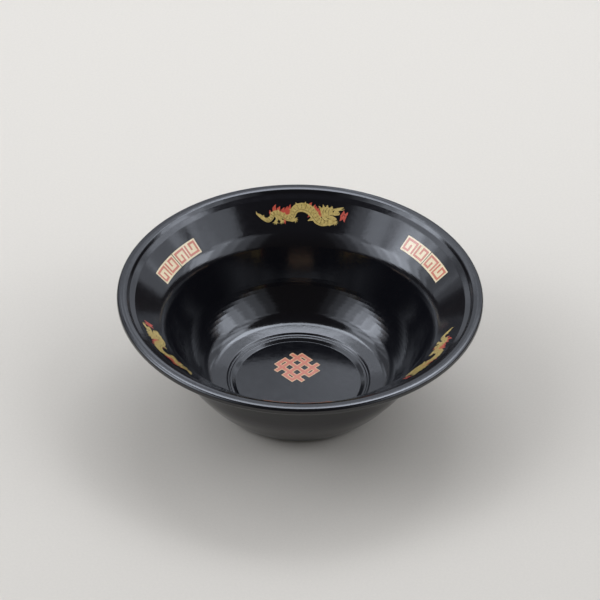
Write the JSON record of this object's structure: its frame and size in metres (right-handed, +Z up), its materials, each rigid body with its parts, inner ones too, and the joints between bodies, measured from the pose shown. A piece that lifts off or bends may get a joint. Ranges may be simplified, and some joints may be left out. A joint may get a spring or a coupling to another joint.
{
  "type": "noodle bowl",
  "caption": "Round glossy black moulded bowl with a flared brim, beaded lip, recessed floor plate, foot ring and printed dragon, fret and knot ornament.",
  "frame": {"origin": "centre of the foot ring's underside, on the surface that the bowl stands on", "axes": "+Z up along the bowl's axis; +Y towards the first dragon, at 90 degrees round the brim"},
  "size_m": [0.2, 0.2, 0.067],
  "materials": {
    "bowl_black": "high gloss moulded melamine, near black",
    "print_gold": "gold print under a clear gloss coat",
    "print_red": "red print under a clear gloss coat",
    "print_cream": "cream and gold print under a clear gloss coat",
    "print_pale_gold": "pale gold print under a clear gloss coat"
  },
  "bodies": {
    "root": {"bowl": "bowl_black", "dragon_gold_1": "print_gold", "dragon_red_1": "print_red", "fret_ground_1": "print_cream", "fret_key_1": "print_red", "dragon_gold_2": "print_gold", "dragon_red_2": "print_red", "fret_ground_2": "print_cream", "fret_key_2": "print_red", "dragon_gold_3": "print_gold", "dragon_red_3": "print_red", "fret_ground_3": "print_cream", "fret_key_3": "print_red", "emblem_ground": "print_pale_gold", "emblem_red": "print_red"}
  },
  "joints": []
}
